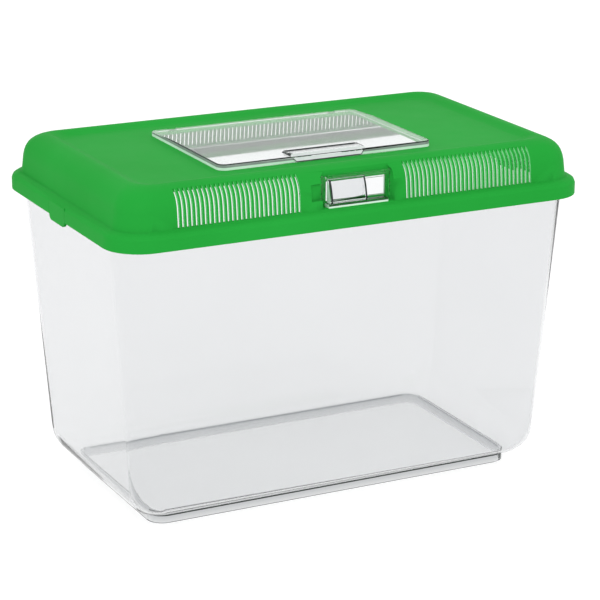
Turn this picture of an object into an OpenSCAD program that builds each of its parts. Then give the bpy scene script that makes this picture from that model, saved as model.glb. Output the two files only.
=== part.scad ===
// Pet keeper: a clear tub with a coloured vented lid, a clear hinged hatch in the lid's top,
// a small feed port with a clear shutter in the lid's front, and two sprung tongues that
// hold the lid down on the short sides. Millimetres, +Z up, the tub's foot stands at z = 0.

/* [Lid] */
// Length of the lid over its rim
lid_length = 460; // [440:5:500]
// Width of the lid over its rim
lid_width = 279; // [265:1:300]
// Corner radius of the lid's rim
rim_corner = 34; // [32:1:40]
// Height of the rim up to the ledge that the hood stands on
rim_height = 16; // [15:0.5:18]
// Height of the hood's crest above the rim's lower edge
hood_height = 50.8; // [49:0.2:56]
// How far the flat top panel lies below the crest
panel_drop = 4; // [2:0.5:4.5]
// Wall thickness of the lid
lid_wall = 2.4; // [2:0.1:2.6]

/* [Tub] */
// Height of the lid's lower edge above the foot
lid_z = 264; // [200:1:300]
// Draft of the tub's walls: how far each leans in from the lid's edge down to the ground
wall_taper = 19.2; // [12:0.2:22]
// Length of the skirt that the tub stands on
foot_length = 364; // [350:1:370]
// Width of the skirt that the tub stands on
foot_width = 183; // [170:1:188]
// Height of the skirt, up to the underside of the floor
foot_height = 9.5; // [6:0.5:12]
// Height at which the rounded bottom edge meets the wall
bottom_round_top = 38; // [32:1:46]
// Wall thickness of the tub
tub_wall = 2.2; // [1.8:0.1:2.6]

/* [Vents] */
// Width of one vent slot
slot_width = 2; // [1:0.1:2.4]
// Distance from one slot to the next
slot_pitch = 4.18; // [4:0.01:4.25]
// Slots in the front row, left of the feed port
left_slots = 28; // [10:1:28]
// Slots in the front row, right of the feed port
right_slots = 31; // [10:1:31]
// Slots in the rear row
rear_slots = 83; // [20:1:83]
// Height of the rear slots' upper ends above the rim's lower edge
rear_slot_top = 29.5; // [24:0.5:31]

/* [Hatch] */
// Length of the hatch
hatch_length = 210; // [190:1:230]
// Width of the hatch, front to rear
hatch_width = 154; // [140:1:158]
// Height of the hatch above the top panel, at its front
hatch_height = 5.5; // [5.2:0.1:6.5]
// Height of the hatch at its hinge
hatch_rear_height = 3.3; // [3.3:0.1:4]
// Wall thickness of the hatch
hatch_wall = 1.8; // [1.4:0.1:1.8]
// Length of the finger grip at the hatch's front edge
grip_length = 74; // [50:1:90]

/* [Feed port] */
// Length of the feed port's recess in the front wall
recess_length = 70; // [68:1:74]
// Length of the sliding shutter
shutter_length = 36; // [32:0.5:36]

/* [Snap tongues] */
// Width of each tongue
tongue_width = 36; // [28:1:44]
// How far a tongue reaches below the rim
tongue_drop = 4.7; // [3:0.1:6]

/* [Hidden] */
$fn = 48;
clear = [0.88, 0.90, 0.92, 0.45];
green = [0.16, 0.63, 0.26];
corner_steps = 8;
cut = 1;                 // how far a cutter runs past the face that it opens
play = 0.2;              // gap between the lid and what it rests on

// Lid heights, above the rim's lower edge
ledge_under = rim_height - lid_wall;
panel_height = hood_height - panel_drop;
panel_z = lid_z + panel_height;
crest_inset = 30;
panel_inset = 44;
hood_inset = 9;
wall_top = [10.5, 31];
hood_steps = 8;
dish_steps = 4;
slot_start = [-171.2, 46.9];  // centres of the first slots left and right of the feed port
slot_reach = 20.8;       // how far in from the rim the front slots run up over the shoulder
rear_slot_reach = 17;

// Tub, from the foot up
tub_inset = 9.1;
foot_corner = 15.4;
low_corner = 24;
skirt_wall = 2.6;
skirt_edge = 0.4;        // bevel round the skirt's lower edge
flange_inset = 3.4;
flange_top = ledge_under - play;
lip_drop = 7.4;
flange_bevel = [2, 2.6];  // in and down: clears the bevelled inner corner of the lid's rim
round_steps = 6;

// Hatch
hatch_x = -5.4;
hatch_y = -3.2;
hatch_draft = 0.3;
hatch_corner = 7.5;
hatch_rear_corner = 10;
hatch_fall = 54;         // length over which the hatch's top falls to the hinge
hatch_fall_steps = 8;
side_overlap = 2;
rear_overlap = 6.5;
opening_length = hatch_length - 2 * side_overlap;
opening_width = hatch_width - side_overlap - rear_overlap;
opening_y = hatch_y - (rear_overlap - side_overlap) / 2;
hinge_radius = (hatch_rear_height - 0.1) / 2;
hinge_y = hatch_y + hatch_width / 2 - hinge_radius;
hinge_z = panel_z + hinge_radius + 0.1;
pin_radius = 0.85;
pin_bore = 0.9;
pin_mouth = 1.2;
lug_x = 82;
lug_length = 6;
lug_radius = 1.5;
lug_gap = 0.5;
catch_length = 30;
catch_drop = 5;          // how far the catch reaches below the top panel
grip_x = 0.5;            // the grip's middle, from the hatch's middle
grip_rise = 1.9;         // how far the grip stands above the hatch's top
grip_depth = 17;         // how far the grip's top runs back from the hatch's front edge
grip_slant = 6;
grip_lip = 1.6;          // how far the grip's lower lip stands out from the hatch's front edge

// Feed port, insets from the lid's outer face and heights above the rim's lower edge
recess_x = -1;
recess_inset = 19.5;
recess_floor = 16.4;
port_wall = 2;
plate_front = 17.4;
frame_top = 43.3;
rail_length = 58;
rail_x = -30.2;
shutter_x = -28.4;
window = [-28.5, 20.2, 29.7, 38];
port = [8.6, 21.5, 28, 37];
notch = [-46.5, 24, 38];
notch_inset = 13.5;

// Snap tongues
tongue_wall = 2.4;
tongue_pivot = rim_height - 4.2;
tongue_x = lid_length / 2 - tongue_wall / 2;
tongue_gap = 0.5;

// --- shared shapes -------------------------------------------------------------------------

// Points of a rounded rectangle of half sizes hx and hy, counter-clockwise from +X
function ring(hx, hy, r, z) = [
    for (q = [0:3])
        for (k = [0:corner_steps])
            let (a = 90 * (q + k / corner_steps))
            let (cx = (q == 0 || q == 3 ? 1 : -1) * (hx - r))
            let (cy = (q < 2 ? 1 : -1) * (hy - r))
            [cx + r * cos(a), cy + r * sin(a), z]
];

// A solid through rounded rectangles, each [half length, half width, corner radius, z]
module loft(rows) {
    count = 4 * (corner_steps + 1);
    last = len(rows) - 1;
    points = [for (row = rows) each ring(row[0], row[1], row[2], row[3])];
    sides = [
        for (j = [0:last - 1])
            for (i = [0:count - 1])
                let (n = (i + 1) % count)
                [j * count + i, (j + 1) * count + i, (j + 1) * count + n, j * count + n]
    ];
    bottom = [for (i = [0:count - 1]) i];
    top = [for (i = [count - 1:-1:0]) last * count + i];
    polyhedron(points, concat([bottom], sides, [top]), convexity = 10);
}

// A point of the cubic curve through a and d, drawn towards b and c
function curve(a, b, c, d, t) =
    pow(1 - t, 3) * a + 3 * t * pow(1 - t, 2) * b + 3 * t * t * (1 - t) * c + pow(t, 3) * d;

// A flat outline in [inset from the lid's front face, height above the rim], drawn along X
module along_front(points, x, length) {
    translate([x, -lid_width / 2, lid_z])
        rotate([90, 0, 90])
            linear_extrude(length)
                polygon(points);
}

// A rounded rectangle of exact arcs, its centre at the origin
module rounded(length, width, r) {
    square([length - 2 * r, width], center = true);
    square([length, width - 2 * r], center = true);
    for (x = [-1, 1], y = [-1, 1])
        translate([x * (length / 2 - r), y * (width / 2 - r)])
            circle(r);
}

// --- tub -----------------------------------------------------------------------------------

function wall_half_length(z) = lid_length / 2 - tub_inset - wall_taper * (1 - z / lid_z);
function wall_half_width(z) = lid_width / 2 - tub_inset - wall_taper * (1 - z / lid_z);
function wall_corner(z) = low_corner
    + (rim_corner - low_corner) * (z - bottom_round_top) / (lid_z - bottom_round_top);

// One ring of the tapered wall, t inside its outer face
function wall_row(z, t) =
    [wall_half_length(z) - t, wall_half_width(z) - t, wall_corner(z) - t, z];

// One ring of the rounded bottom edge: s runs from 0 at the foot to 1 at the wall
function bottom_row(s, t) =
    let (out = sin(90 * s))
    let (foot = [foot_length / 2, foot_width / 2, foot_corner])
    let (wall = wall_row(bottom_round_top, 0))
    let (row = [for (k = [0:2]) foot[k] + (wall[k] - foot[k]) * out - t])
    let (rise = bottom_round_top - foot_height)
    [row[0], row[1], row[2], bottom_round_top - rise * cos(90 * s) + t * (1 - s)];

function foot_row(z, t) = [foot_length / 2 - t, foot_width / 2 - t, foot_corner - t, z];

// One ring of the flange, at an inset from the lid's rim
function flange_row(inset, z) =
    [lid_length / 2 - inset, lid_width / 2 - inset, rim_corner - inset, lid_z + z];

module tub() {
    flange_under = flange_top - tub_wall;
    lip_bottom = flange_top - lip_drop;
    outside = concat(
        [foot_row(0, skirt_edge), foot_row(skirt_edge, 0)],
        [for (k = [0:round_steps]) bottom_row(k / round_steps, 0)],
        [wall_row(lid_z + flange_under, 0)]);
    flange = [
        flange_row(flange_inset + tub_wall, flange_under),
        flange_row(flange_inset + tub_wall, lip_bottom),
        flange_row(flange_inset, lip_bottom),
        flange_row(flange_inset, flange_top - flange_bevel[1]),
        flange_row(flange_inset + flange_bevel[0], flange_top)
    ];
    inside = concat(
        [wall_row(lid_z + flange_top, tub_wall)],
        [for (k = [round_steps:-1:0]) bottom_row(k / round_steps, tub_wall)]);
    color(clear)
        difference() {
            loft(concat(outside, flange, inside));
            loft([foot_row(-cut, skirt_wall), foot_row(foot_height, skirt_wall)]);
        }
}

// --- lid -----------------------------------------------------------------------------------

// Corner radius of the lid's outer surface at an inset from the rim
function lid_corner(inset) =
    lookup(inset, [[0, rim_corner], [hood_inset, 26], [crest_inset, 16], [panel_inset, 14]]);

function lid_row(inset, z, r) =
    [lid_length / 2 - inset, lid_width / 2 - inset, r, lid_z + z];

// The hood's shoulder, from the wall's top to the crest, t inside the outer surface
function shoulder(t) = [
    for (k = [1:hood_steps])
        curve(
            wall_top + [t, -t * 0.4],
            [12.2, hood_height - 7.3] + [t, -t * 0.7],
            [18, hood_height - 2.3] + [t * 0.7, -t],
            [crest_inset, hood_height - t],
            k / hood_steps)
];

// The slope from the crest down to the flat panel
function dish(t) = [
    for (k = [1:dish_steps])
        let (s = k / dish_steps)
        [crest_inset + (panel_inset - crest_inset) * s,
            panel_height - t + panel_drop * (1 + cos(180 * s)) / 2]
];

function lid_outside() = concat(
    [[0, 0], [0, 10]],
    [for (a = [30:30:90]) [hood_inset * (1 - cos(a)), 10 + (rim_height - 10) * sin(a)]],
    [wall_top],
    shoulder(0),
    dish(0));

function lid_inside() = concat(
    [[lid_wall, 0], [lid_wall, 10], [5, ledge_under], [hood_inset + lid_wall, ledge_under]],
    [wall_top + [lid_wall, -0.4 * lid_wall]],
    shoulder(lid_wall),
    dish(lid_wall));

module lid_shell() {
    outer = lid_outside();
    inner = lid_inside();
    loft(concat(
        [for (k = [len(inner) - 1:-1:0])
            lid_row(inner[k][0], inner[k][1], lid_corner(inner[k][0] - lid_wall) - lid_wall)],
        [for (p = outer) lid_row(p[0], p[1], lid_corner(p[0]))]));
}

// A row of slots through the hood's wall, up to a height above the rim's lower edge and in to
// an inset from the rim; side is -1 at the front, 1 at the rear
module slot_row(x0, count, side, reach, top) {
    bottom = rim_height + 0.3;
    for (k = [0:count - 1])
        translate([x0 + k * slot_pitch, side * (lid_width - reach + cut) / 2, lid_z + bottom])
            translate([-slot_width / 2, -(reach + cut) / 2, 0])
                cube([slot_width, reach + cut, top - bottom]);
}

module vents() {
    slot_row(slot_start[0], left_slots, -1, slot_reach, hood_height + cut);
    slot_row(slot_start[1], right_slots, -1, slot_reach, hood_height + cut);
    slot_row(slot_start[0], rear_slots, 1, rear_slot_reach, rear_slot_top);
}

// Thickening behind the feed port's recess and behind its thumb notch
module port_backing() {
    skin = [for (k = [0:hood_steps]) k == 0 ? wall_top + [1, 0] : shoulder(1)[k - 1]];
    deep = recess_inset + port_wall;
    inside = [for (p = skin) if (p[0] < deep) p];
    top = skin[len(inside)][1] - 1;
    along_front(
        concat([[hood_inset + 1, ledge_under]], inside, [[deep, top], [deep, ledge_under]]),
        recess_x - recess_length / 2 - port_wall,
        recess_length + 2 * port_wall);
    along_front(
        [[hood_inset + 1, notch[1] - port_wall], [notch_inset + port_wall, notch[1] - port_wall],
            [notch_inset + port_wall, notch[2] - 2], [hood_inset + 3, notch[2] - 2]],
        notch[0] - port_wall,
        recess_x - recess_length / 2 - notch[0]);
}

module port_cuts() {
    left = recess_x - recess_length / 2;
    right = recess_x + recess_length / 2;
    front = -lid_width / 2;
    translate([0, front + recess_inset, lid_z])
        rotate([90, 0, 0])
            linear_extrude(recess_inset + cut)
                polygon([[left, recess_floor], [right, recess_floor], [right, frame_top],
                    [right - 7, hood_height + cut], [left + 10, hood_height + cut],
                    [left, frame_top]]);
    translate([window[0], front + recess_inset - cut, lid_z + window[1]])
        cube([window[2] - window[0], port_wall + 3 * cut, window[3] - window[1]]);
    translate([notch[0], front - cut, lid_z + notch[1]])
        cube([left - notch[0] + cut, notch_inset + cut, notch[2] - notch[1]]);
}

// Two small lugs under the hatch's rear edge; its hinge pins snap into them from behind
module hinge_lugs() {
    for (side = [-1, 1])
        translate([hatch_x + side * lug_x, hinge_y, hinge_z])
            difference() {
                union() {
                    rotate([0, 90, 0])
                        cylinder(r = lug_radius, h = lug_length, center = true);
                    translate([-lug_length / 2, 0.2 - lug_radius, panel_z - hinge_z - lid_wall / 2])
                        cube([lug_length, 2 * lug_radius - 0.4, hinge_z - panel_z + lid_wall / 2]);
                }
                rotate([0, 90, 0])
                    cylinder(r = pin_bore, h = lug_length + cut, center = true);
                translate([-lug_length, 0, -pin_mouth / 2])
                    cube([2 * lug_length, 2 * lug_radius, pin_mouth]);
            }
}

// The opening that the hatch covers
module hatch_opening() {
    translate([hatch_x, opening_y, panel_z - lid_wall - cut])
        linear_extrude(lid_wall + 2 * cut)
            rounded(opening_length, opening_width, 6);
}

// The gap that a tongue hangs in; its round top seats the tongue's hinge bead
module tongue_gate(side) {
    half = tongue_width / 2 + tongue_gap;
    translate([side * tongue_x, 0, lid_z + tongue_pivot]) {
        rotate([90, 0, 0])
            cylinder(r = tongue_wall / 2 + 0.05, h = 2 * half, center = true);
        translate([-tongue_wall, -half, -tongue_pivot - cut])
            cube([2 * tongue_wall, 2 * half, tongue_pivot + cut]);
    }
}

module lid() {
    color(green)
        difference() {
            union() {
                lid_shell();
                port_backing();
                hinge_lugs();
            }
            vents();
            port_cuts();
            hatch_opening();
            tongue_gate(-1);
            tongue_gate(1);
        }
}

// --- hatch ---------------------------------------------------------------------------------

// Height of the hatch's top above the panel, at y from the hatch's centre
function hatch_top(y) =
    let (s = min(1, max(0, (y - hatch_width / 2 + hatch_fall) / (hatch_fall - hinge_radius))))
    hatch_height - (hatch_height - hatch_rear_height) * (1 - cos(180 * s)) / 2;

function hatch_row(draft, z, t) = [
    hatch_length / 2 - draft - t,
    hatch_width / 2 - draft - t,
    hatch_corner - draft / 2 - t,
    z
];

// The space under the hatch's top, t below it
module under_top(t) {
    start = hatch_width / 2 - hatch_fall;
    step = (hatch_fall - hinge_radius) / hatch_fall_steps;
    translate([-hatch_length, 0, 0])
        rotate([90, 0, 90])
            linear_extrude(2 * hatch_length)
                polygon(concat(
                    [[-hatch_width, -cut], [-hatch_width, hatch_height - t]],
                    [for (k = [0:hatch_fall_steps])
                        [start + k * step, hatch_top(start + k * step) - t]],
                    [[start + hatch_fall - hinge_radius, -cut]]));
}

// A shallow tray, turned over; its top falls gently to the hinge along the rear edge
module hatch_tray() {
    edge = 0.8;
    difference() {
        intersection() {
            loft([
                hatch_row(0, 0.1, 0),
                hatch_row(hatch_draft, hatch_height - edge, 0),
                hatch_row(hatch_draft + edge * 0.3, hatch_height - edge * 0.3, 0),
                hatch_row(hatch_draft + edge, hatch_height, 0)
            ]);
            under_top(0);
        }
        intersection() {
            loft([
                hatch_row(0, -cut, hatch_wall),
                hatch_row(hatch_draft, hatch_height, hatch_wall)
            ]);
            under_top(hatch_wall);
        }
    }
}

// The finger grip: a raised hood over the front edge, with slanted ends and a lip at the front
module hatch_grip() {
    front = hatch_y - hatch_width / 2;
    top = hatch_height + grip_rise;
    under = hatch_height - 1.2;
    half = grip_length / 2;
    profile = [[-grip_lip, 0.6], [2.6, 0.6], [4.4, under], [grip_depth + 0.5, under],
        [grip_depth + 2, hatch_height], [grip_depth, top], [2, top]];
    intersection() {
        translate([hatch_x + grip_x - half, front, panel_z])
            rotate([90, 0, 90])
                linear_extrude(grip_length)
                    polygon(profile);
        translate([hatch_x + grip_x, front + grip_depth + 13, panel_z])
            rotate([90, 0, 0])
                linear_extrude(grip_depth + 23)
                    polygon([[-half + grip_slant, 0], [half - grip_slant, 0], [half, top - 2],
                        [half - 1, top], [-half + 1, top], [-half, top - 2]]);
    }
}

// The round barrel along the hinge axis
module hatch_barrel() {
    translate([hatch_x, hinge_y, hinge_z])
        rotate([0, 90, 0])
            cylinder(r = hinge_radius, h = hatch_length - hatch_rear_corner, center = true);
}

// Room for the lid's hinge lugs, which the pins cross
module lug_room() {
    room = lug_length + 2 * lug_gap;
    front = lug_radius + lug_gap;
    for (side = [-1, 1])
        translate([hatch_x + side * lug_x - room / 2, hinge_y - front, panel_z - cut])
            cube([room, front + hinge_radius + cut, hatch_height + 2 * cut]);
}

module hinge_pins() {
    for (side = [-1, 1])
        translate([hatch_x + side * lug_x, hinge_y, hinge_z])
            rotate([0, 90, 0])
                cylinder(r = pin_radius, h = lug_length + 2 * lug_gap + 2, center = true);
}

// The snap catch under the grip, which springs past the front edge of the lid's opening
module hatch_catch() {
    front = opening_y - opening_width / 2;
    translate([hatch_x - catch_length / 2, front, panel_z])
        rotate([90, 0, 90])
            linear_extrude(catch_length)
                polygon([[0.7, hatch_height - 1], [0.7, -1.6], [0.3, -2.2], [0.7, -4],
                    [1.3, -catch_drop], [2.2, -catch_drop], [2.2, hatch_height - 1]]);
}

// Rounds the hatch's rear corners in plan
module rear_corners() {
    r = hatch_rear_corner;
    out = hatch_length / 2 - r;
    rear = hatch_y + hatch_width / 2 - r;
    for (side = [-1, 1])
        translate([hatch_x + side * out, rear, panel_z - cut])
            linear_extrude(hatch_height + 2 * cut)
                difference() {
                    translate([side > 0 ? 0 : -r - cut, 0])
                        square(r + cut);
                    circle(r);
                }
}

module hatch() {
    color(clear)
        union() {
            difference() {
                union() {
                    translate([hatch_x, hatch_y, panel_z])
                        hatch_tray();
                    hatch_barrel();
                }
                lug_room();
                rear_corners();
            }
            hinge_pins();
            hatch_catch();
            hatch_grip();
        }
}

// --- feed port -----------------------------------------------------------------------------

// The clear plate with its port, and the two lipped rails that the shutter runs in
module feed_frame() {
    left = recess_x - recess_length / 2 + 0.3;
    color(clear)
        union() {
            difference() {
                along_front(
                    [[plate_front, recess_floor], [recess_inset, recess_floor],
                        [recess_inset, frame_top], [plate_front, frame_top]],
                    left, recess_length - 0.6);
                translate([port[0], -lid_width / 2 + plate_front - cut, lid_z + port[1]])
                    cube([port[2] - port[0], recess_inset, port[3] - port[1]]);
            }
            along_front(
                [[9.4, recess_floor], [plate_front + 0.5, recess_floor],
                    [plate_front + 0.5, 19.6], [10.4, 19.6], [10.2, 20.6], [9.6, 20.6]],
                rail_x, rail_length);
            along_front(
                [[15.2, 40.6], [16.2, 40.6], [16.2, 41.6], [plate_front + 0.5, 41.6],
                    [plate_front + 0.5, frame_top], [15.2, frame_top - 0.8]],
                rail_x, rail_length);
        }
}

// The shutter: a bowed clear cover, open at the back, with a foot and a head behind the lips
module feed_shutter() {
    wall = 1.6;
    color(clear)
        difference() {
            along_front(
                [[10.8, 19.9], [10.6, 20.9], [9.9, 21.3], [10.4, 24.5], [11.4, 28.4], [12.3, 32.2],
                    [13.7, 36], [15.4, 39], [15.4, 40.2], [16.5, 40.3], [16.5, 41.3],
                    [plate_front - 0.2, 41.3], [plate_front - 0.2, 19.9]],
                shutter_x, shutter_length);
            along_front(
                [[12, 21.5], [12, 24.4], [13, 28.3], [13.9, 32], [15.3, 35.6], [16.6, 38.2],
                    [18, 38.6], [18, 21.5]],
                shutter_x + wall, shutter_length - 2 * wall);
        }
}

// --- snap tongues --------------------------------------------------------------------------

// A tongue hangs on the hinge bead along its top; side is -1 on the left, 1 on the right
module snap_tongue(side) {
    r = 5;
    bottom = tongue_pivot + tongue_drop;
    catch_top = tongue_pivot - 5.6;
    color(green)
        translate([side * tongue_x, 0, lid_z + tongue_pivot]) {
            rotate([90, 0, 0])
                cylinder(r = tongue_wall / 2, h = tongue_width, center = true);
            translate([-tongue_wall / 2, 0, 0])
                rotate([90, 0, 90])
                    linear_extrude(tongue_wall) {
                        translate([-tongue_width / 2, -bottom + r])
                            square([tongue_width, bottom - r]);
                        translate([-tongue_width / 2 + r, -bottom])
                            square([tongue_width - 2 * r, r + 0.1]);
                        for (y = [-1, 1])
                            translate([y * (tongue_width / 2 - r), -bottom + r])
                                circle(r);
                    }
            translate([-side * (tongue_wall / 2 - 0.1), tongue_width / 2 - 6, 0])
                rotate([90, 0, 0])
                    linear_extrude(tongue_width - 12)
                        polygon([[0, -catch_top - 4.5], [-side * 0.8, -catch_top - 1.2],
                            [-side * 0.8, -catch_top], [0, -catch_top]]);
        }
}

module left_snap_tongue() {
    snap_tongue(-1);
}

module right_snap_tongue() {
    snap_tongue(1);
}

tub();
lid();
hatch();
feed_frame();
feed_shutter();
left_snap_tongue();
right_snap_tongue();
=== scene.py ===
# %% [markdown]
# # A pet keeper, from moulded shells to a finished picture
# A pet keeper is a clear tub with a coloured lid. Insects, small reptiles or fish live in it, so the
# lid is full of narrow slots, has a clear hatch on top and a small feed port at the front.
# The tub is injection moulded in polystyrene, and the lid in polypropylene. The shells come in as a
# fixed frame, in metres, and every finish in this file is built on top of them.

# %% Load the frame
import math

import bpy
from mathutils import Matrix, Vector


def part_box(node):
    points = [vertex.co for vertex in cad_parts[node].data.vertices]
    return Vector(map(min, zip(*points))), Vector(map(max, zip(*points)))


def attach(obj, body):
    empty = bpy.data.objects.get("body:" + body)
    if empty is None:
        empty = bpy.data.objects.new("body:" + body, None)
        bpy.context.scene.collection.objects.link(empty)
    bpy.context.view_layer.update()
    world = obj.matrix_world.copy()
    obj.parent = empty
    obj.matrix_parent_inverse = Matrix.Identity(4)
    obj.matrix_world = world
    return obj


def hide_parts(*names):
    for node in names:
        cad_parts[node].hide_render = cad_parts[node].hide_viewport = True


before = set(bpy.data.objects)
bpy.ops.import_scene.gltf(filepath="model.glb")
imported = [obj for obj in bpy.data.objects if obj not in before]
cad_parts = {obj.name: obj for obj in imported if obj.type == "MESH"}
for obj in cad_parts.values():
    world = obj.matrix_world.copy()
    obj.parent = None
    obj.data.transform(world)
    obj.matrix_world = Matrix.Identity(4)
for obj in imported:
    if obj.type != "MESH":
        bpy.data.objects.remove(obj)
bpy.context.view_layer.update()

# %% [markdown]
# ## The camera
# A long lens from about two metres keeps the sides of a box nearly parallel, the way a catalogue
# shows it. The view comes from the front left and a little above, so that the tub's front, its left
# side and the hatch all show. A constraint could aim the camera at the tub, but three plain angles
# can be checked and changed one at a time.

# %% The camera
camera_place = (-0.95320, -1.89947, 0.82124)
camera_azimuth = math.radians(-26.84)
camera_elevation = math.radians(17.34)
camera_roll = math.radians(0.21)
lens_length = 144.31

bpy.ops.object.camera_add(location=camera_place)
camera = bpy.context.object
camera.name = "catalogue_camera"
camera.rotation_euler = (
    Matrix.Rotation(camera_azimuth, 3, "Z")
    @ Matrix.Rotation(math.pi / 2 - camera_elevation, 3, "X")
    @ Matrix.Rotation(camera_roll, 3, "Z")
).to_euler()
camera.data.sensor_width = 36.0
camera.data.lens = lens_length
camera.data.dof.use_dof = False
bpy.context.scene.camera = camera
print("camera", round(Vector(camera_place).length, 2), "m from the origin, lens", lens_length, "mm")

# %% [markdown]
# ## The floor
# Clear plastic is drawn by what is behind it: a bright floor behind a clear wall makes the wall pale.
# A studio calls this bright-field lighting, and puts the object on a lit table. A plain sheet under
# strong lamps could do the same, but the lamps would then bleach the lid. So the sheet here is matt
# and gives off light of its own.

# %% The floor
def deselect_everything():
    if bpy.context.object and bpy.context.object.mode != "OBJECT":
        bpy.ops.object.mode_set(mode="OBJECT")
    bpy.ops.object.select_all(action="DESELECT")


floor_width = 60
floor_drop = 0.0004  # a hair below the skirt, so that the two faces never share a plane
floor_grey = 0.25
floor_glow = 0.82

deselect_everything()
bpy.ops.mesh.primitive_plane_add(size=floor_width, location=(0, 0, -floor_drop))
floor = bpy.context.object
floor.name = "studio_floor"
floor_paint = bpy.data.materials.new("studio_floor_paint")
floor_paint.use_nodes = True
floor_shader = floor_paint.node_tree.nodes["Principled BSDF"]
floor_shader.inputs["Base Color"].default_value = (floor_grey, floor_grey, floor_grey, 1)
floor_shader.inputs["Roughness"].default_value = 0.9
floor_shader.inputs["Specular IOR Level"].default_value = 0.1
floor_shader.inputs["Emission Color"].default_value = (1, 1, 1, 1)
floor_shader.inputs["Emission Strength"].default_value = floor_glow
floor.data.materials.append(floor_paint)
print("floor", floor.dimensions.x, "m wide")

# %% [markdown]
# ## The sky
# The bent edges of a clear box look past it, at the sky. A grey band just above the horizon gives
# them something dark to pick up, and above it the sky is a smooth ramp that ends a little brighter
# than white. Black cards beside the box could do this too, but they would only suit one view.
# The camera itself sees plain white in place of the ramp, so the background stays clean.

# %% The sky
sky_stops = [(0.0, 0.45), (0.03, 0.50), (0.10, 0.88), (1.0, 1.05)]
sky_strength = 1.15
blue_lift = 1.01
print("sky", len(sky_stops), "greys from", sky_stops[0][1], "to", sky_stops[-1][1])

# %% The sky's nodes
world = bpy.data.worlds.new("studio_sky")
bpy.context.scene.world = world
world.use_nodes = True
sky = world.node_tree
sky.nodes.clear()
sky_place = sky.nodes.new("ShaderNodeTexCoord")
sky_split = sky.nodes.new("ShaderNodeSeparateXYZ")
sky_ramp = sky.nodes.new("ShaderNodeValToRGB")
sky_light = sky.nodes.new("ShaderNodeBackground")
sky_seen = sky.nodes.new("ShaderNodeBackground")
sky_rays = sky.nodes.new("ShaderNodeLightPath")
sky_mix = sky.nodes.new("ShaderNodeMixShader")
sky_out = sky.nodes.new("ShaderNodeOutputWorld")
for position, _ in sky_stops[1:-1]:
    sky_ramp.color_ramp.elements.new(position)
for stop, (position, grey) in zip(sky_ramp.color_ramp.elements, sky_stops):
    stop.position = position
    stop.color = (grey, grey, grey * blue_lift, 1)
sky_light.inputs["Strength"].default_value = sky_strength
sky_seen.inputs["Color"].default_value = (1, 1, 1, 1)
sky.links.new(sky_place.outputs["Generated"], sky_split.inputs[0])
sky.links.new(sky_split.outputs["Z"], sky_ramp.inputs["Fac"])
sky.links.new(sky_ramp.outputs["Color"], sky_light.inputs["Color"])
sky.links.new(sky_rays.outputs["Is Camera Ray"], sky_mix.inputs["Fac"])
sky.links.new(sky_light.outputs[0], sky_mix.inputs[1])
sky.links.new(sky_seen.outputs[0], sky_mix.inputs[2])
sky.links.new(sky_mix.outputs[0], sky_out.inputs["Surface"])
print("sky", len(sky.nodes), "nodes", len(sky.links), "links")

# %% [markdown]
# ## The lamps
# Two large round lamps give the lid its soft roundness: a key lamp from the front left, and a weaker
# fill lamp from the right. Small lamps would put hard spots on the satin green. The plain view
# transform keeps the white of the floor and the green of the lid as they are set.

# %% The lamps
lamp_aim = (0, 0, 0.2)


def soft_lamp(name, place, size, watts):
    bpy.ops.object.light_add(type="AREA", location=place)
    lamp = bpy.context.object
    lamp.name = name
    lamp.data.shape = "DISK"
    lamp.data.size = size
    lamp.data.energy = watts
    lamp.rotation_euler = (Vector(place) - Vector(lamp_aim)).to_track_quat("Z", "Y").to_euler()
    return lamp


key_lamp = soft_lamp("key_lamp", place=(-2.2, -2.6, 2.4), size=1.8, watts=34)
fill_lamp = soft_lamp("fill_lamp", place=(2.4, -1.6, 1.6), size=1.6, watts=10)
bpy.context.scene.view_settings.view_transform = "Standard"
print("lamps", key_lamp.data.energy, fill_lamp.data.energy, "watts")

# %% [markdown]
# ## Node helpers
# A finish is a chain of nodes: a place on the piece goes into a noise, the noise goes through a ramp
# or a range, and the result drives one socket of the shader. The nodes could be written out for each
# finish, but small helpers keep the chains short: the first makes an empty finish, and each of the
# others adds one node and gives back the socket that the next node reads.
# The place is read in Object coordinates, so a pattern stays where it is when a piece moves.

# %% An empty finish, and its noise
def new_finish(name):
    finish = bpy.data.materials.new(name)
    finish.use_nodes = True
    tree = finish.node_tree
    tree.nodes.clear()
    out = tree.nodes.new("ShaderNodeOutputMaterial")
    shader = tree.nodes.new("ShaderNodeBsdfPrincipled")
    tree.links.new(shader.outputs[0], out.inputs["Surface"])
    return finish, tree, shader, out


def place_node(tree):
    return tree.nodes.new("ShaderNodeTexCoord").outputs["Object"]


def noise_node(tree, place, scale, detail):
    noise = tree.nodes.new("ShaderNodeTexNoise")
    noise.inputs["Scale"].default_value = scale
    noise.inputs["Detail"].default_value = detail
    tree.links.new(place, noise.inputs["Vector"])
    return noise.outputs["Fac"]


# %% Ramp, range and bump
def ramp_node(tree, factor, low, high, start=0.3, end=0.7):
    # nearly all of a noise lies between 0.3 and 0.7, so the ramp uses its whole width there
    ramp = tree.nodes.new("ShaderNodeValToRGB")
    ramp.color_ramp.elements[0].position = start
    ramp.color_ramp.elements[1].position = end
    ramp.color_ramp.elements[0].color = (*low, 1)
    ramp.color_ramp.elements[1].color = (*high, 1)
    tree.links.new(factor, ramp.inputs["Fac"])
    return ramp.outputs["Color"]


def range_node(tree, factor, low, high):
    span = tree.nodes.new("ShaderNodeMapRange")
    span.inputs["To Min"].default_value = low
    span.inputs["To Max"].default_value = high
    tree.links.new(factor, span.inputs["Value"])
    return span.outputs["Result"]


def bump_node(tree, height, depth, strength):
    bump = tree.nodes.new("ShaderNodeBump")
    bump.inputs["Strength"].default_value = strength
    bump.inputs["Distance"].default_value = depth
    tree.links.new(height, bump.inputs["Height"])
    return bump.outputs["Normal"]


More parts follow.
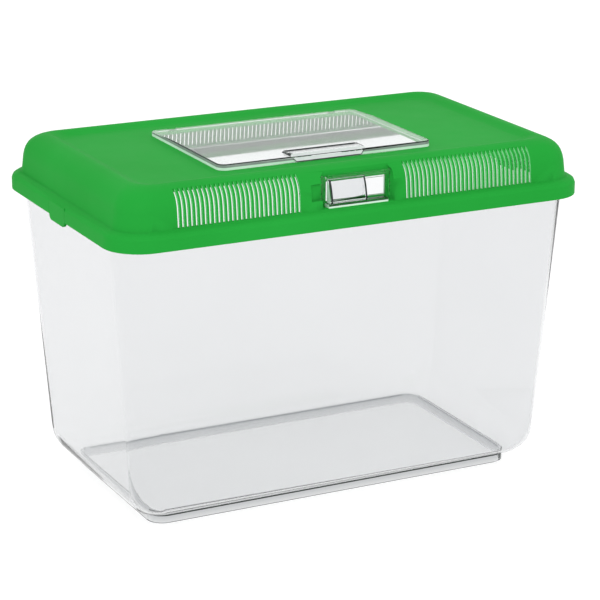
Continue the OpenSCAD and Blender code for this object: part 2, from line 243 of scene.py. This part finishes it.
# %% [markdown]
# ## Green polypropylene
# Polypropylene comes out of the mould with a soft satin face: the colour is full, the highlights are
# broad, and a very fine orange peel breaks them up. One flat colour would look like paint. The
# pigment never mixes quite evenly, so a slow noise moves the green by about a tenth, a second noise
# moves the sheen, and a third, much finer one, is the orange peel.

# %% Green polypropylene
deep_green = (0.014, 0.285, 0.032)
full_green = (0.017, 0.315, 0.039)

green_pp, tree, shader, _ = new_finish("green_polypropylene")
place = place_node(tree)
pigment = noise_node(tree, place, scale=7.0, detail=4.0)
tree.links.new(ramp_node(tree, pigment, deep_green, full_green), shader.inputs["Base Color"])
sheen = noise_node(tree, place, scale=40.0, detail=3.0)
tree.links.new(range_node(tree, sheen, low=0.42, high=0.52), shader.inputs["Roughness"])
peel = noise_node(tree, place, scale=900.0, detail=2.0)
tree.links.new(bump_node(tree, peel, depth=0.00004, strength=0.35), shader.inputs["Normal"])
shader.inputs["IOR"].default_value = 1.49
shader.inputs["Specular IOR Level"].default_value = 0.02
print("finish", green_pp.name)

# %% [markdown]
# ## Clear polystyrene
# Crystal polystyrene is clear, hard and a little grey in bulk. Light is bent at each face and lost a
# little in each wall. A plain see-through shader would be simpler, but it bends nothing, and then no
# corner shows. The grey sits in the bulk of the plastic: a wall seen straight on stays pale, and a
# corner or an edge, where light runs a long way inside the sheet, turns dark and draws the outline.
# Real polystyrene bends light by 1.59. That much fills the walls and the skirt with dark bands, so
# a gentler bend stands in for it. A lamp can't be traced back through bent glass, so shadow rays
# meet a plain see-through shader instead, and the floor below the tub stays bright.

# %% Clear polystyrene
shadow_tint = (0.97, 0.97, 0.97, 1)
tint_drop = 0.985


def clear_finish(name, tint, ripple, bulk_grey, density, bend):
    finish, tree, shader, out = new_finish(name)
    place = place_node(tree)
    clouds = noise_node(tree, place, scale=5.0, detail=2.0)
    low_tint = tuple(c * tint_drop for c in tint)
    tree.links.new(ramp_node(tree, clouds, low_tint, tint), shader.inputs["Base Color"])
    haze = noise_node(tree, place, scale=30.0, detail=3.0)
    tree.links.new(range_node(tree, haze, low=0.01, high=0.04), shader.inputs["Roughness"])
    wave = noise_node(tree, place, scale=14.0, detail=1.5)
    tree.links.new(bump_node(tree, wave, depth=ripple, strength=0.6), shader.inputs["Normal"])
    shader.inputs["Transmission Weight"].default_value = 1.0
    shader.inputs["IOR"].default_value = bend
    bulk = tree.nodes.new("ShaderNodeVolumeAbsorption")
    bulk.inputs["Color"].default_value = (*bulk_grey, 1)
    bulk.inputs["Density"].default_value = density
    tree.links.new(bulk.outputs[0], out.inputs["Volume"])
    path = tree.nodes.new("ShaderNodeLightPath")
    through = tree.nodes.new("ShaderNodeBsdfTransparent")
    through.inputs["Color"].default_value = shadow_tint
    swap = tree.nodes.new("ShaderNodeMixShader")
    tree.links.new(path.outputs["Is Shadow Ray"], swap.inputs[0])
    tree.links.new(shader.outputs[0], swap.inputs[1])
    tree.links.new(through.outputs[0], swap.inputs[2])
    tree.links.new(swap.outputs[0], out.inputs["Surface"])
    print("clear finish", name, "bends light by", bend)
    return finish


# %% The clear finishes
tub_ripple = 0.000006
trim_ripple = 0.000004
tub_grey = (0.42, 0.45, 0.47)
trim_grey = (0.40, 0.47, 0.46)

tub_clear = clear_finish(
    "clear_tub_polystyrene", tint=(0.882, 0.885, 0.89), ripple=tub_ripple,
    bulk_grey=tub_grey, density=20, bend=1.25,
)
hatch_clear = clear_finish(
    "clear_hatch_polystyrene", tint=(0.94, 0.965, 0.95), ripple=trim_ripple,
    bulk_grey=trim_grey, density=14, bend=1.26,
)
port_clear = clear_finish(
    "clear_port_polystyrene", tint=(0.925, 0.93, 0.935), ripple=trim_ripple,
    bulk_grey=trim_grey, density=14, bend=1.25,
)

# %% [markdown]
# ## Lines along the edges
# A clear moulding is read by its edges: where two faces meet, light is bent away and a thin dark line
# is left, and where a wall ends, light that ran along inside it comes out and makes a pale one.
# Left to the light alone, these lines would come and go with each change of lamp or bend. So they
# are painted on narrow faces of their own: a dark and a soft finish of painted shade, and a pale
# finish of painted light. A grey finish is a painted reflection of the sky on a flat face that catches
# it, and two greens are painted light and painted shade on the lid.

# %% Finishes for the lines
roughness_spread = 0.1


def edge_finish(name, low, high, roughness):
    finish, tree, shader, _ = new_finish(name)
    place = place_node(tree)
    drift = noise_node(tree, place, scale=60.0, detail=2.0)
    tree.links.new(ramp_node(tree, drift, low, high), shader.inputs["Base Color"])
    polish_map = range_node(tree, drift, roughness, roughness + roughness_spread)
    tree.links.new(polish_map, shader.inputs["Roughness"])
    grain = noise_node(tree, place, scale=300.0, detail=2.0)
    tree.links.new(bump_node(tree, grain, depth=0.00002, strength=0.3), shader.inputs["Normal"])
    shader.inputs["Specular IOR Level"].default_value = 0.2
    print("edge finish", name)
    return finish


# %% Painted shade and light lines, two painted greens and a painted sky reflection
# painted shade lines in dark and soft grey, a painted light line, a painted lit and a painted shaded
# green, and a painted sky reflection
shade_line_paint = edge_finish("painted_shade_line", (0.010, 0.016, 0.014), (0.022, 0.032, 0.028), 0.3)
soft_shade_paint = edge_finish("painted_soft_shade_line", (0.22, 0.25, 0.24), (0.30, 0.33, 0.32), 0.3)
light_line_paint = edge_finish("painted_light_line", (0.62, 0.80, 0.68), (0.70, 0.88, 0.76), 0.4)
vent_edge = edge_finish("lit_vent_wall", (0.20, 0.66, 0.27), (0.26, 0.74, 0.33), 0.5)
shaded_green = edge_finish("shaded_lid_inside", (0.006, 0.185, 0.024), (0.008, 0.205, 0.028), 0.5)
sky_reflection_paint = edge_finish("painted_sky_reflection", (0.60, 0.62, 0.63), (0.68, 0.69, 0.70), 0.35)

# %% [markdown]
# ## Taking over a moulded shell
# The frame's shells are exact but drawn in flat facets. They could be modelled again from boxes, but
# that would only add errors. So a copy of each is merged into one skin and shaded smooth wherever
# two facets meet at a shallow angle, which is what a polished mould leaves.
# Weighted normals keep the large flat walls flat right up to their rounded edges: in clear plastic
# a normal that leans a little draws a false reflection across the whole wall.
# The copy then stands for its shell, and rides on the same body.

# %% Taking over a moulded shell
merge_distance = 0.000004


def work_on(piece, mode="OBJECT"):
    deselect_everything()
    piece.select_set(True)
    bpy.context.view_layer.objects.active = piece
    if mode != "OBJECT":
        bpy.ops.object.mode_set(mode=mode)


def take_over(node, body, name, finish):
    piece = bpy.data.objects.new(name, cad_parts[node].data.copy())
    bpy.context.collection.objects.link(piece)
    work_on(piece, "EDIT")
    bpy.ops.mesh.select_all(action="SELECT")
    bpy.ops.mesh.remove_doubles(threshold=merge_distance)
    bpy.ops.object.mode_set(mode="OBJECT")
    piece.data.materials.clear()
    piece.data.materials.append(finish)
    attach(piece, body)
    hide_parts(node)
    print(name, len(piece.data.vertices), "points", len(piece.data.polygons), "faces")
    return piece


# %% Polishing a shell
def polish(piece, smooth_angle=30):
    work_on(piece)
    bpy.ops.object.shade_smooth_by_angle(angle=math.radians(smooth_angle))
    bpy.ops.object.modifier_add(type="WEIGHTED_NORMAL")
    piece.modifiers[-1].keep_sharp = True
    bpy.ops.object.modifier_apply(modifier=piece.modifiers[-1].name)
    print(piece.name, "smooth below", smooth_angle, "degrees")


# %% [markdown]
# ## Choosing, cutting and lining faces
# A line needs a narrow face of its own. Numbered faces could be listed, but a number changes as soon
# as a shell does. So a face is chosen by where its middle lies and which way it points. The arrow
# that it points along, its normal, is one unit long: normal.y < -0.9 means nearly straight to the
# front, and normal.z > 0.99 means level and facing up.
# A face that is too wide is first cut in two by a flat plane, which is given by a point on it and
# the direction across it. An edge that needs a line of even width is bevelled. The last helper sets
# the normals of a nearly level face upright, so that it looks level.

# %% Giving faces a finish
def finish_number(piece, finish):
    finishes = piece.data.materials
    if finishes.find(finish.name) < 0:
        finishes.append(finish)
    return finishes.find(finish.name)


def finish_faces(piece, finish, chosen):
    number = finish_number(piece, finish)
    count = 0
    for face in piece.data.polygons:
        if chosen(face.center, face.normal):
            face.material_index = number
            count += 1
    print(piece.name, count, "faces in", finish.name)


# %% Cutting faces
def edit_faces(piece, chosen):
    work_on(piece)
    for face in piece.data.polygons:
        face.select = chosen(face.center, face.normal)
    bpy.context.tool_settings.mesh_select_mode = (False, False, True)
    bpy.ops.object.mode_set(mode="EDIT")


def leave_edit_mode():
    bpy.ops.object.mode_set(mode="OBJECT")
    bpy.context.tool_settings.mesh_select_mode = (True, False, False)


def cut_faces(piece, place, across, chosen):
    edit_faces(piece, chosen)
    bpy.ops.mesh.bisect(plane_co=place, plane_no=across)
    leave_edit_mode()


# %% Lining edges
def select_edges(piece, chosen):
    points = piece.data.vertices
    for group in (points, piece.data.edges, piece.data.polygons):
        for item in group:
            item.select = False
    for edge in piece.data.edges:
        start, end = (points[i].co for i in edge.vertices)
        if chosen(start, end):
            edge.select = True
            for i in edge.vertices:
                points[i].select = True
    return sum(edge.select for edge in piece.data.edges)


def line_edges(piece, finish, width, chosen):
    number = finish_number(piece, finish)
    work_on(piece)
    count = select_edges(piece, chosen)
    bpy.context.tool_settings.mesh_select_mode = (False, True, False)
    bpy.ops.object.mode_set(mode="EDIT")
    bpy.ops.mesh.bevel(
        offset=width, segments=1, affect="EDGES", clamp_overlap=True, material=number,
    )
    leave_edit_mode()
    print(piece.name, count, "edges lined in", finish.name)


# %% Level normals
def level_normals(piece, chosen):
    mesh = piece.data
    normals = [item.vector.copy() for item in mesh.corner_normals]
    count = 0
    for face in mesh.polygons:
        if chosen(face.center, face.normal):
            for corner in face.loop_indices:
                normals[corner] = Vector((0, 0, math.copysign(1, face.normal.z)))
            count += 1
    mesh.normals_split_custom_set(normals)
    print(piece.name, count, "faces shaded as level")


# %% [markdown]
# ## The tub
# The tub stands on a skirt. Where the rounded bottom overhangs the skirt a painted shade line runs
# along it, and the near faces of the skirt get a greyer finish, painted shade where the skirt meets
# the floor. A thin strip laid round the skirt could be the line, but it would stand proud of the
# mould.
# So the strip is cut from the skirt's own faces, and a softer painted shade line runs up the skirt's
# right front corner. The far sides of the skirt are seen through the whole tub, and get a clearer
# finish. The floor of the tub is shaded as level, so that it stays even.

# %% The tub
skirt_top = 0.0095
line_low = skirt_top - 0.0026
skirt_bevel = 0.0025  # the middle of a face of the skirt's lowest bevel lies below this
skirt_half_length = 0.182
skirt_half_width = 0.0915
skirt_slack = 0.006
tub_floor_top = 0.013
tub = take_over("tub", "tub", "clear_tub", tub_clear)

# %% Two finishes for the skirt
skirt_shade_paint = clear_finish(
    "painted_shade_skirt_polystyrene", tint=(0.965, 0.975, 0.975), ripple=tub_ripple,
    bulk_grey=tub_grey, density=30, bend=1.25,
)
skirt_clear = clear_finish(
    "clear_skirt_polystyrene", tint=(0.96, 0.965, 0.97), ripple=tub_ripple,
    bulk_grey=tub_grey, density=10, bend=1.15,
)


# %% Faces of the skirt
def near(value, target, slack=0.00003):
    return abs(value - target) < slack


def on_skirt(centre, normal):
    on_end = near(abs(centre.x), skirt_half_length, skirt_slack)
    on_long_side = near(abs(centre.y), skirt_half_width, skirt_slack)
    outward = centre.x * normal.x + centre.y * normal.y > 0
    upright = abs(normal.z) < 0.1
    return centre.z < skirt_top and upright and outward and (on_end or on_long_side)


def near_front(centre, normal):
    return on_skirt(centre, normal) and (normal.y < -0.3 or normal.x < -0.3)


def far_side(centre, normal):
    return on_skirt(centre, normal) and not near_front(centre, normal)


def right_corner(centre, normal):
    turned = normal.y < -0.2 and normal.x > 0.75
    return on_skirt(centre, normal) and turned and centre.z > skirt_bevel


def front_line(centre, normal):
    return on_skirt(centre, normal) and normal.y < -0.2 and centre.z > line_low


def tub_floor(centre, normal):
    return abs(normal.z) > 0.999 and centre.z < tub_floor_top


# %% The skirt's painted shade and its painted shade line
cut_faces(tub, (0, 0, line_low), (0, 0, 1), on_skirt)
# the near faces get a greyer finish: painted shade where the skirt meets the floor
finish_faces(tub, skirt_shade_paint, near_front)
finish_faces(tub, skirt_clear, far_side)
# a soft painted shade line up the skirt's right front corner
finish_faces(tub, soft_shade_paint, right_corner)
# a dark painted shade line along the top of the skirt's front
finish_faces(tub, shade_line_paint, front_line)
polish(tub)
level_normals(tub, tub_floor)

# %% [markdown]
# ## The lid
# The lid is one green moulding, and its slots let air in at the front and the rear. Green plastic
# carries a little light inside it. The side walls of the front slots pass that light on, so a row of
# slots shows a pale comb. The inner face of the rear wall is the other way round: it stands in the
# shade of the hood. Light scattered in the plastic could do both, but it is slow and grainy, and a
# lighter and a deeper green on the faces themselves give the same picture.

# %% The lid
lid = take_over("lid", "lid", "vented_lid", green_pp)
slots_low = 0.280
slots_high = 0.312
slots_back = -0.105
slots_end = 0.19
port_recess = (-0.05, 0.04)
inside_low = 0.27
inside_high = 0.310
inside_front = 0.09


def slot_wall(centre, normal):
    beside_port = not port_recess[0] < centre.x < port_recess[1]
    in_row = centre.y < slots_back and abs(centre.x) < slots_end and beside_port
    return slots_low < centre.z < slots_high and in_row and abs(normal.x) > 0.9


def rear_inside(centre, normal):
    return inside_low < centre.z < inside_high and centre.y > inside_front and normal.y < -0.25


finish_faces(lid, vent_edge, slot_wall)
finish_faces(lid, shaded_green, rear_inside)
polish(lid)

# %% [markdown]
# ## The hatch
# The hatch is a shallow tray turned over, with a raised grip over its front edge. Its front and left
# walls are low and carry three painted bands of light and shade: the foot gets a painted highlight,
# the wall above it a grey painted shade, and the bevel round the top a dark painted shade. One
# bevelled edge could only draw one line. So the walls are cut once, for the first two bands, and the
# bevel that is moulded round the top is the third.

# %% The hatch
hatch = take_over("hatch", "hatch", "clear_hatch", hatch_clear)
hatch_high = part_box("hatch")[1]
panel_z = 0.3108  # the height of the lid's top panel, which the hatch lies on
tray_top = panel_z + 0.0055
tray_front = -0.0802
tray_left = -0.1104
grip_middle = -0.0049
grip_reach = 0.0372
grip_back = tray_front + 0.0195


def on_grip(point):
    return abs(point.x - grip_middle) < grip_reach and point.y < grip_back


# %% Painted light and shade along the hatch's front and left
rim_depth = 0.0011
corner_depth = 0.008
pale_top = panel_z + 0.0024
bevel_low = tray_top - 0.0008


def tray_rim(centre, normal):
    front = centre.y < tray_front + rim_depth and normal.y < -0.15
    side = centre.x < tray_left + rim_depth and normal.x < -0.15
    corner = centre.y < tray_front + corner_depth and normal.y < -0.1 and abs(normal.x) > 0.1
    return (front or side or corner) and not on_grip(centre)


def rim_foot(centre, normal):
    return tray_rim(centre, normal) and centre.z < pale_top


def rim_wall(centre, normal):
    return tray_rim(centre, normal) and pale_top < centre.z < bevel_low


def rim_bevel(centre, normal):
    return tray_rim(centre, normal) and centre.z > bevel_low and normal.z < 0.97


cut_faces(hatch, (0, 0, pale_top), (0, 0, 1), tray_rim)
finish_faces(hatch, light_line_paint, rim_foot)
finish_faces(hatch, soft_shade_paint, rim_wall)
finish_faces(hatch, shade_line_paint, rim_bevel)

# %% [markdown]
# ## The groove in the grip
# A groove along the back of the grip stops the finger, and its walls and floor are painted dark, a
# painted shade that makes the darkest line on the hatch. A long box could be cut out of the grip, but
# a boolean leaves a ragged mesh in a thin wall. Here the grip's roof is cut twice across, and the
# strip between the cuts is extruded down.

# %% The groove in the grip
grip_top = hatch_high.z
groove_front = tray_front + 0.0134
groove_back = groove_front + 0.0034
groove_depth = 0.0028
hair = 0.0001


def grip_roof(centre, normal):
    return near(centre.z, grip_top, hair) and normal.z > 0.99


def in_groove(centre):
    return groove_front - hair < centre.y < groove_back + hair


def groove_strip(centre, normal):
    return grip_roof(centre, normal) and in_groove(centre)


def groove_face(centre, normal):
    below_roof = grip_top - groove_depth - hair < centre.z < grip_top - hair
    wall_or_floor = abs(normal.y) > 0.9 or normal.z > 0.9
    return on_grip(centre) and in_groove(centre) and below_roof and wall_or_floor


# %% Cutting the groove
for y in (groove_front, groove_back):
    cut_faces(hatch, (0, y, 0), (0, 1, 0), grip_roof)
edit_faces(hatch, groove_strip)
bpy.ops.mesh.extrude_region_move(TRANSFORM_OT_translate={"value": (0, 0, -groove_depth)})
leave_edit_mode()
# the groove's walls and floor get painted shade
finish_faces(hatch, shade_line_paint, groove_face)

# %% [markdown]
# ## The grip's face
# The grip's face leans back from its lower lip and gets longer towards the top, because both ends lean
# outwards. It catches the sky, and a pale grey painted reflection of the sky covers it. A painted
# shade line runs along the lip and up both ends. A bevel along these edges would be squeezed by the
# short edges next to them, so the strips are cut off the face by planes that run along its own edges.

# %% The grip's face
face_run, face_rise = 3.6, 6.8  # the face leans back by 3.6 mm over 6.8 mm of height
end_run, end_rise = 6, 5.4  # each end leans out by 6 mm over 5.4 mm of height
face_half_length = 0.031
face_foot = 0.0006
lip_out = 0.0016
face_slack = 0.00006
lip_line = panel_z + 0.0014
end_line = 0.0006


def on_grip_face(point):
    rise = point.z - panel_z - face_foot
    face_y = tray_front - lip_out + rise * (face_run / face_rise)
    return rise > -hair and near(point.y, face_y, face_slack)


def grip_face(centre, normal):
    return on_grip_face(centre) and normal.y < -0.5


def past_end(centre):
    lean = (centre.z - panel_z) * end_run / end_rise
    return abs(centre.x - grip_middle) > face_half_length - end_line + lean


def face_line(centre, normal):
    return grip_face(centre, normal) and (centre.z < lip_line or past_end(centre))


# %% The face's painted sky reflection and its painted shade lines
cut_faces(hatch, (0, 0, lip_line), (0, 0, 1), grip_face)
for side in (-1, 1):
    foot = (grip_middle + side * (face_half_length - end_line), 0, panel_z)
    cut_faces(hatch, foot, (side * end_rise, 0, -end_run), grip_face)
# a painted sky reflection on the face, and painted shade lines along its lip and ends
finish_faces(hatch, sky_reflection_paint, grip_face)
finish_faces(hatch, shade_line_paint, face_line)

# %% [markdown]
# ## The lines on the grip's top
# A grip like this has a small raised step at each front corner. The step could be modelled, but it is
# very low, and all that shows of it are dark lines of shade along its edges. So that shade is painted:
# dark painted shade on faces at the corners, a soft painted shade line across the roof behind them,
# and a dark painted shade line along the roof's right end. The front edge of the roof gets a very fine
# bevel, with a soft painted shade line.

# %% The lines on the grip's top
step_back = tray_front + 0.0074
step_line = 0.0007
roof_half_length = 0.036
right_end = grip_middle + roof_half_length - 0.0011
left_end = grip_middle - roof_half_length + 0.0018
chamfer_line = grip_top - 0.0004
edge_line = 0.00025


def end_chamfer(centre, normal):
    slanted = 0.3 < normal.z < 0.6 and abs(normal.x) > 0.8
    return on_grip(centre) and centre.z > tray_top - 2 * hair and slanted


def chamfer_top(centre, normal):
    return end_chamfer(centre, normal) and centre.z > chamfer_line


def dark_chamfer(centre, normal):
    return end_chamfer(centre, normal) and (normal.x > 0 or centre.y < step_back)


def soft_roof(centre, normal):
    return grip_roof(centre, normal) and step_back < centre.y < step_back + step_line


def dark_roof(centre, normal):
    right = centre.x > right_end
    left = centre.x < left_end and centre.y < step_back
    return grip_roof(centre, normal) and centre.y < groove_front and (right or left)


def roof_front(start, end):
    on_face = on_grip_face(start) and on_grip_face(end)
    return on_face and near(start.z, grip_top) and near(end.z, grip_top)


# %% Painting the step's shade
for y in (step_back, step_back + step_line):
    cut_faces(hatch, (0, y, 0), (0, 1, 0), grip_roof)
for x in (right_end, left_end):
    cut_faces(hatch, (x, 0, 0), (1, 0, 0), grip_roof)
cut_faces(hatch, (0, step_back, 0), (0, 1, 0), end_chamfer)
cut_faces(hatch, (0, 0, chamfer_line), (0, 0, 1), end_chamfer)
finish_faces(hatch, soft_shade_paint, soft_roof)
finish_faces(hatch, soft_shade_paint, chamfer_top)
finish_faces(hatch, shade_line_paint, dark_chamfer)
finish_faces(hatch, shade_line_paint, dark_roof)
line_edges(hatch, soft_shade_paint, edge_line, roof_front)

# %% [markdown]
# ## The hatch's level top
# The top of the hatch falls a little towards the hinge. That fall is so slight that a real plate
# hardly bends what lies behind it, but shaded facets would. So the normals of the top, of its
# underside and of the grip's roof are set upright, all but those of the hinge's barrel: the slots
# behind the hatch then show through it as straight rods.

# %% The hatch's level top
plate_low = panel_z + 0.0012
barrel_front = hatch_high.y - 0.004


def level_plate(centre, normal):
    return abs(normal.z) > 0.99 and centre.z > plate_low and centre.y < barrel_front


polish(hatch, 14)
level_normals(hatch, level_plate)

# %% [markdown]
# ## The feed port's frame
# A clear plate with a small opening lies in the lid's front, between two rails. The plate lies on
# the lid's back wall. Two faces in one plane would fight for the same pixels. The wall could be cut
# away behind the plate, but a hair's breadth of air between them is nearer to the real part, and
# lets the light reach the green. The lower rail's front gets a painted highlight line and a painted
# shade line, and the opening's right wall and the rail's left end get painted highlights.

# %% The feed port's frame
air_gap = 0.00025
plane_slack = 0.00002


def move_rear_face(piece, rear_y):
    work_on(piece)
    points = piece.data.vertices
    for point in points:
        point.select = abs(point.co.y - rear_y) < plane_slack
    for face in piece.data.polygons:
        face.select = all(points[i].select for i in face.vertices)
    for edge in piece.data.edges:
        edge.select = all(points[i].select for i in edge.vertices)
    bpy.ops.object.mode_set(mode="EDIT")
    bpy.ops.transform.translate(value=(0, -air_gap, 0))
    bpy.ops.object.mode_set(mode="OBJECT")
    print(piece.name, "rear face at", round(max(point.co.y for point in piece.data.vertices), 5))


port_frame = take_over("feed_frame", "lid", "feed_port_frame", port_clear)
move_rear_face(port_frame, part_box("feed_frame")[1].y)

# %% Painted light and shade lines on the feed port's frame
rail_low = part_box("feed_frame")[0]
pale_height = rail_low.z + 0.0016
dark_height = rail_low.z + 0.0022
port_right = 0.028
rail_left = -0.0302
wall_slack = 0.0003


def rail_front(centre, normal):
    return normal.y < -0.9 and centre.y < rail_low.y + 0.0004


def rail_foot(centre, normal):
    return rail_front(centre, normal) and centre.z < pale_height


def rail_line(centre, normal):
    return rail_front(centre, normal) and pale_height < centre.z < dark_height


def lit_end(centre, normal):
    on_wall = near(centre.x, port_right, wall_slack) or near(centre.x, rail_left, wall_slack)
    return normal.x < -0.9 and on_wall


for height in (pale_height, dark_height):
    cut_faces(port_frame, (0, 0, height), (0, 0, 1), rail_front)
finish_faces(port_frame, light_line_paint, rail_foot)
finish_faces(port_frame, shade_line_paint, rail_line)
finish_faces(port_frame, light_line_paint, lit_end)
polish(port_frame, 14)

# %% [markdown]
# ## The shutter
# The shutter is a bowed clear cover that slides along the rails and closes the opening. Its ends are
# thin walls that stand on edge, so each shows as a painted shade line through the bow, and its left
# wall, which catches the light, gets a painted highlight. Both shade lines are strips that are cut
# from the bow by upright planes.

# %% The shutter
shutter = take_over("feed_shutter", "feed_shutter", "feed_port_shutter", port_clear)
cover_low, cover_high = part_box("feed_shutter")
bow_depth = 0.0058
left_line = (cover_low.x + 0.0008, cover_low.x + 0.0026)
right_line = (cover_high.x - 0.0016, cover_high.x)


def bowed_face(centre, normal):
    return normal.y < -0.5 and centre.y < cover_low.y + bow_depth and normal.z > -0.5


def bow_line(centre, normal):
    on_left = left_line[0] < centre.x < left_line[1]
    on_right = right_line[0] < centre.x < right_line[1]
    return bowed_face(centre, normal) and (on_left or on_right)


def left_wall(centre, normal):
    return normal.x < -0.9 and near(centre.x, cover_low.x, 2 * hair)


# %% The shutter's painted shade lines and painted highlight
for x in (*left_line, right_line[0]):
    cut_faces(shutter, (x, 0, 0), (1, 0, 0), bowed_face)
finish_faces(shutter, shade_line_paint, bow_line)
finish_faces(shutter, light_line_paint, left_wall)
polish(shutter, 14)

# %% [markdown]
# ## The tongues
# A tongue hangs in each short side of the rim, and snaps under the tub's flange to hold the lid on.
# The tongues are as green as the lid, and no light shows through their edges, so they could do
# without lines. Each shell is only taken over and polished.

# %% The tongues
left_tongue = take_over("left_snap_tongue", "left_tongue", "left_tongue_flap", green_pp)
polish(left_tongue)
right_tongue = take_over("right_snap_tongue", "right_tongue", "right_tongue_flap", green_pp)
polish(right_tongue)

# %% [markdown]
# ## The end
# Nothing is left selected at the end.

# %% The end
deselect_everything()
